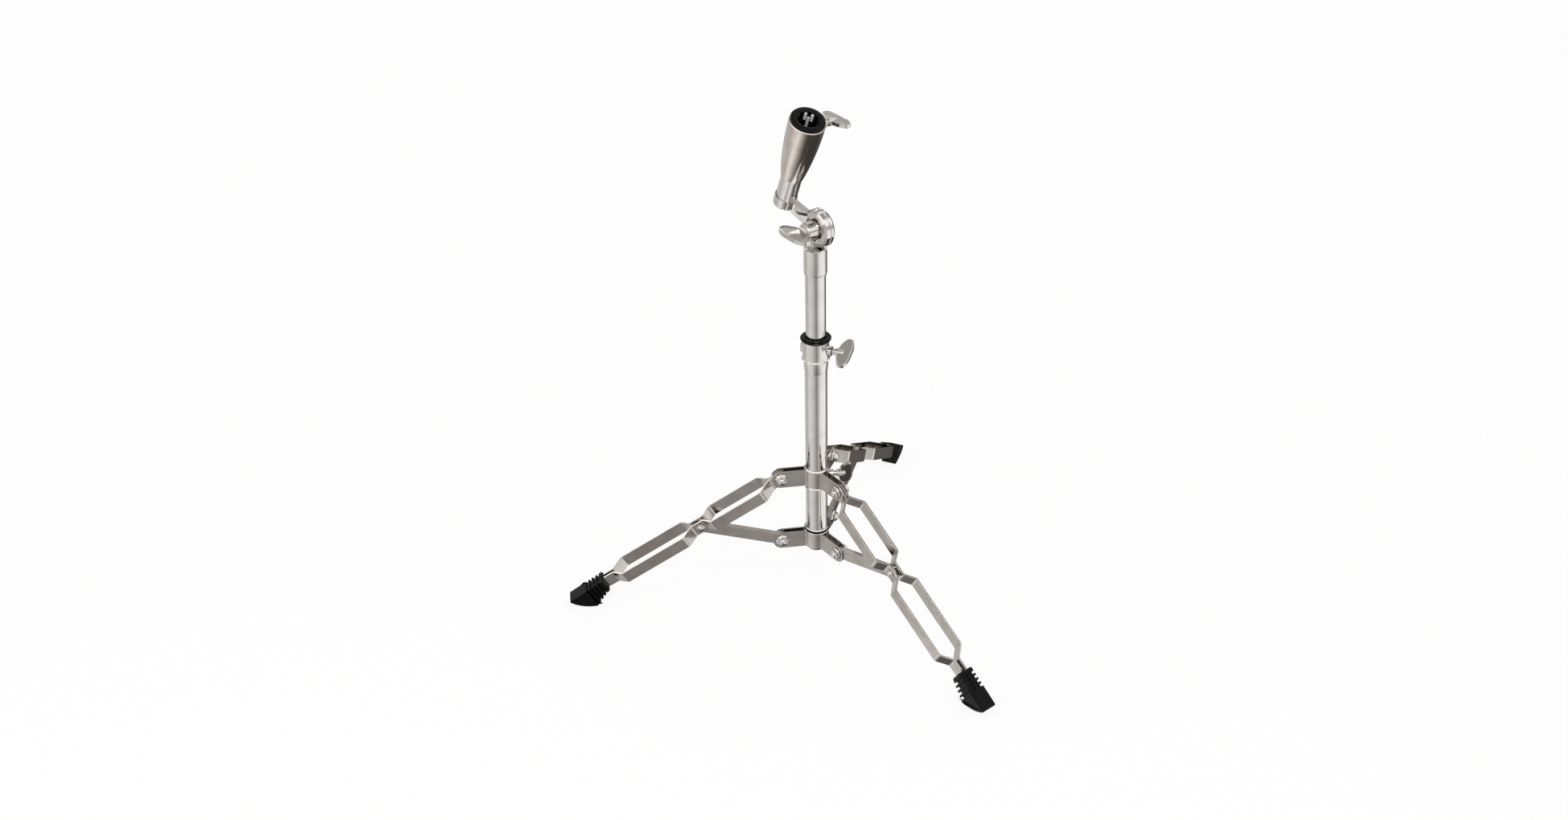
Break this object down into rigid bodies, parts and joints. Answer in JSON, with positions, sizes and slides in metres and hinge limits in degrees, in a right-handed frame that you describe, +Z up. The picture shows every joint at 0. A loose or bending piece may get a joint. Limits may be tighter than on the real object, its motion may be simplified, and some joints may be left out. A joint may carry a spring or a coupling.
{
  "type": "drum pad stand",
  "caption": "Folding tripod stand with a telescopic steel column, a toothed tilter and a flared socket at the top that grips a drum pad's post.",
  "frame": {"origin": "middle of the bottom of the bounding box, on the floor; the column stands 80 mm from it towards +X", "axes": "+Z up along the column, -X along the left leg, the other legs at 60 degrees either side of +X"},
  "size_m": [0.517, 0.5962, 0.6901],
  "materials": {
    "chrome": "bright chrome plate on steel",
    "cast_chrome": "chrome plate on castings and bolts, a little softer",
    "black_rubber": "matt black moulded rubber",
    "black_nylon": "satin black moulded plastic"
  },
  "bodies": {
    "base": {"lower_tube": "chrome", "lower_tube_end_cap": "black_nylon", "height_bush": "black_nylon", "clamp_collar": "cast_chrome", "lower_collar_plate_1": "chrome", "lower_collar_plate_2": "chrome", "lower_collar_plate_3": "chrome", "lower_collar_ring": "black_nylon", "lower_pivot_rivet_left": "cast_chrome", "lower_pivot_rivet_front": "cast_chrome", "lower_pivot_rivet_back": "cast_chrome"},
    "upper_collar": {"upper_collar_plate_1": "chrome", "upper_collar_plate_2": "chrome", "upper_collar_plate_3": "chrome", "upper_pivot_rivet_left": "cast_chrome", "upper_pivot_rivet_front": "cast_chrome", "upper_pivot_rivet_back": "cast_chrome", "spread_boss": "cast_chrome"},
    "spread_bolt": {"spread_wing_bolt": "cast_chrome"},
    "leg_left": {"leg_strip_left_a": "chrome", "leg_strip_left_b": "chrome", "mid_rivet_left_a": "cast_chrome", "mid_rivet_left_b": "cast_chrome", "foot_left": "black_rubber"},
    "leg_front": {"leg_strip_front_a": "chrome", "leg_strip_front_b": "chrome", "mid_rivet_front_a": "cast_chrome", "mid_rivet_front_b": "cast_chrome", "foot_front": "black_rubber"},
    "leg_back": {"leg_strip_back_a": "chrome", "leg_strip_back_b": "chrome", "mid_rivet_back_a": "cast_chrome", "mid_rivet_back_b": "cast_chrome", "foot_back": "black_rubber"},
    "left_brace": {"brace_left": "chrome"},
    "front_brace": {"brace_front": "chrome"},
    "back_brace": {"brace_back": "chrome"},
    "height_bolt": {"height_wing_bolt": "cast_chrome"},
    "height_guide": {"guide_plug": "black_nylon"},
    "upper_column": {"upper_tube": "chrome", "tilter_base": "cast_chrome", "tilter_nut": "cast_chrome"},
    "socket": {"tilter_arm": "cast_chrome", "socket_pipe": "chrome", "socket_cone": "chrome", "socket_insert": "black_nylon", "socket_boss": "cast_chrome"},
    "tilter_bolt": {"tilter_wing_bolt": "cast_chrome"},
    "socket_bolt": {"socket_wing_bolt": "cast_chrome"}
  },
  "joints": [
    {"name": "leg_fold", "type": "slide", "parent": "base", "child": "upper_collar", "axis": [0, 0, 1], "range_m": [0, 0.1427]},
    {"name": "left_leg_hinge", "type": "hinge", "parent": "upper_collar", "child": "leg_left", "pos_m": [0.03247, 0, 0.17729], "axis": [0, -1, 0], "range_deg": [0, 59.31]},
    {"name": "front_leg_hinge", "type": "hinge", "parent": "upper_collar", "child": "leg_front", "pos_m": [0.10372, -0.04114, 0.17729], "axis": [0.866, 0.5, 0], "range_deg": [0, 59.31]},
    {"name": "back_leg_hinge", "type": "hinge", "parent": "upper_collar", "child": "leg_back", "pos_m": [0.10372, 0.04114, 0.17729], "axis": [-0.866, 0.5, 0], "range_deg": [0, 59.31]},
    {"name": "left_brace_hinge", "type": "hinge", "parent": "base", "child": "left_brace", "pos_m": [0.03247, 0, 0.07753], "axis": [0, 1, 0], "range_deg": [0, 72.44]},
    {"name": "front_brace_hinge", "type": "hinge", "parent": "base", "child": "front_brace", "pos_m": [0.10372, -0.04114, 0.07753], "axis": [-0.866, -0.5, 0], "range_deg": [0, 72.44]},
    {"name": "back_brace_hinge", "type": "hinge", "parent": "base", "child": "back_brace", "pos_m": [0.10372, 0.04114, 0.07753], "axis": [0.866, -0.5, 0], "range_deg": [0, 72.44]},
    {"name": "spread_bolt_turn", "type": "hinge", "parent": "upper_collar", "child": "spread_bolt", "pos_m": [0.10267, 0, 0.17729], "axis": [1, 0, 0], "continuous": true},
    {"name": "height_bolt_turn", "type": "hinge", "parent": "base", "child": "height_bolt", "pos_m": [0.09912, -0.00997, 0.37053], "axis": [0.887, -0.4618, 0], "continuous": true},
    {"name": "height_slide", "type": "slide", "parent": "base", "child": "height_guide", "axis": [0, 0, 1], "range_m": [-0.084, 0.134]},
    {"name": "column_swivel", "type": "hinge", "parent": "height_guide", "child": "upper_column", "pos_m": [0.07997, 0, 0.2], "axis": [0, 0, 1], "continuous": true},
    {"name": "socket_tilt", "type": "hinge", "parent": "upper_column", "child": "socket", "pos_m": [0.07997, 0, 0.53613], "axis": [0.887, 0.4618, 0], "range_deg": [-65, 95]},
    {"name": "tilter_bolt_turn", "type": "hinge", "parent": "socket", "child": "tilter_bolt", "pos_m": [0.08121, 0.00065, 0.53613], "axis": [-0.887, -0.4618, 0], "continuous": true},
    {"name": "socket_bolt_turn", "type": "hinge", "parent": "socket", "child": "socket_bolt", "pos_m": [0.09168, 0.00316, 0.66841], "axis": [0.887, 0.4618, 0], "continuous": true}
  ],
  "couplings": [
    {"joint": "left_leg_hinge", "follows": "leg_fold", "rad_per_m": 7.2524},
    {"joint": "front_leg_hinge", "follows": "leg_fold", "rad_per_m": 7.2524},
    {"joint": "back_leg_hinge", "follows": "leg_fold", "rad_per_m": 7.2524},
    {"joint": "left_brace_hinge", "follows": "leg_fold", "rad_per_m": 8.8582},
    {"joint": "front_brace_hinge", "follows": "leg_fold", "rad_per_m": 8.8582},
    {"joint": "back_brace_hinge", "follows": "leg_fold", "rad_per_m": 8.8582}
  ]
}
